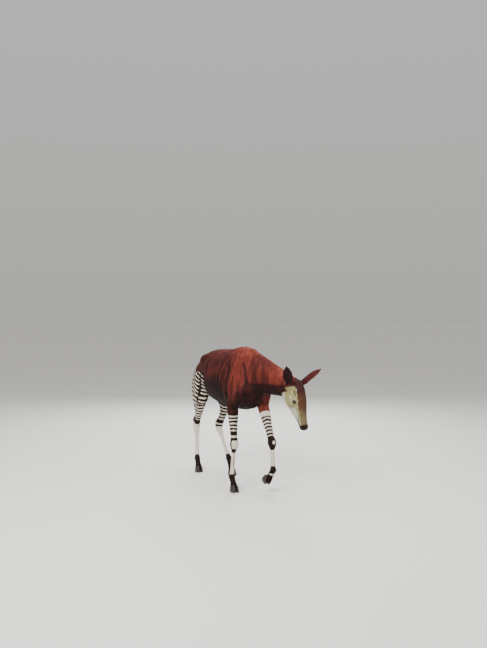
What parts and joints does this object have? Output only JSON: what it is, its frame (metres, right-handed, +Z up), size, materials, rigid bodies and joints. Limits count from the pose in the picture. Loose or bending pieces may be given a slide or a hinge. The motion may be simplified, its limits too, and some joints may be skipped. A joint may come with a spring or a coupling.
{
  "type": "okapi",
  "caption": "Life-size okapi walking with its head held low and one forefoot lifted, as a still museum model.",
  "frame": {"origin": "on the ground under the middle of the animal's bounding box", "axes": "+Z up, the okapi faces -Y, its left side is +X"},
  "size_m": [0.7436, 2.0236, 1.5325],
  "materials": {
    "body_coat": "short velvety maroon coat",
    "face_coat": "short pale cheek coat, brown forehead",
    "ear_coat": "short dark ear coat",
    "leg_coat": "short near-black coat with cream stripes",
    "eye": "wet dark eyeball",
    "hoof_horn": "dull dark horn"
  },
  "bodies": {
    "root": {"trunk": "body_coat", "neck": "body_coat", "tail": "body_coat", "head": "face_coat", "left_ear": "ear_coat", "right_ear": "ear_coat", "left_eye": "eye", "right_eye": "eye", "front_left_leg": "leg_coat", "front_right_leg": "leg_coat", "rear_left_leg": "leg_coat", "rear_right_leg": "leg_coat", "front_left_outer_hoof": "hoof_horn", "front_left_inner_hoof": "hoof_horn", "front_right_outer_hoof": "hoof_horn", "front_right_inner_hoof": "hoof_horn", "rear_left_outer_hoof": "hoof_horn", "rear_left_inner_hoof": "hoof_horn", "rear_right_outer_hoof": "hoof_horn", "rear_right_inner_hoof": "hoof_horn"}
  },
  "joints": []
}
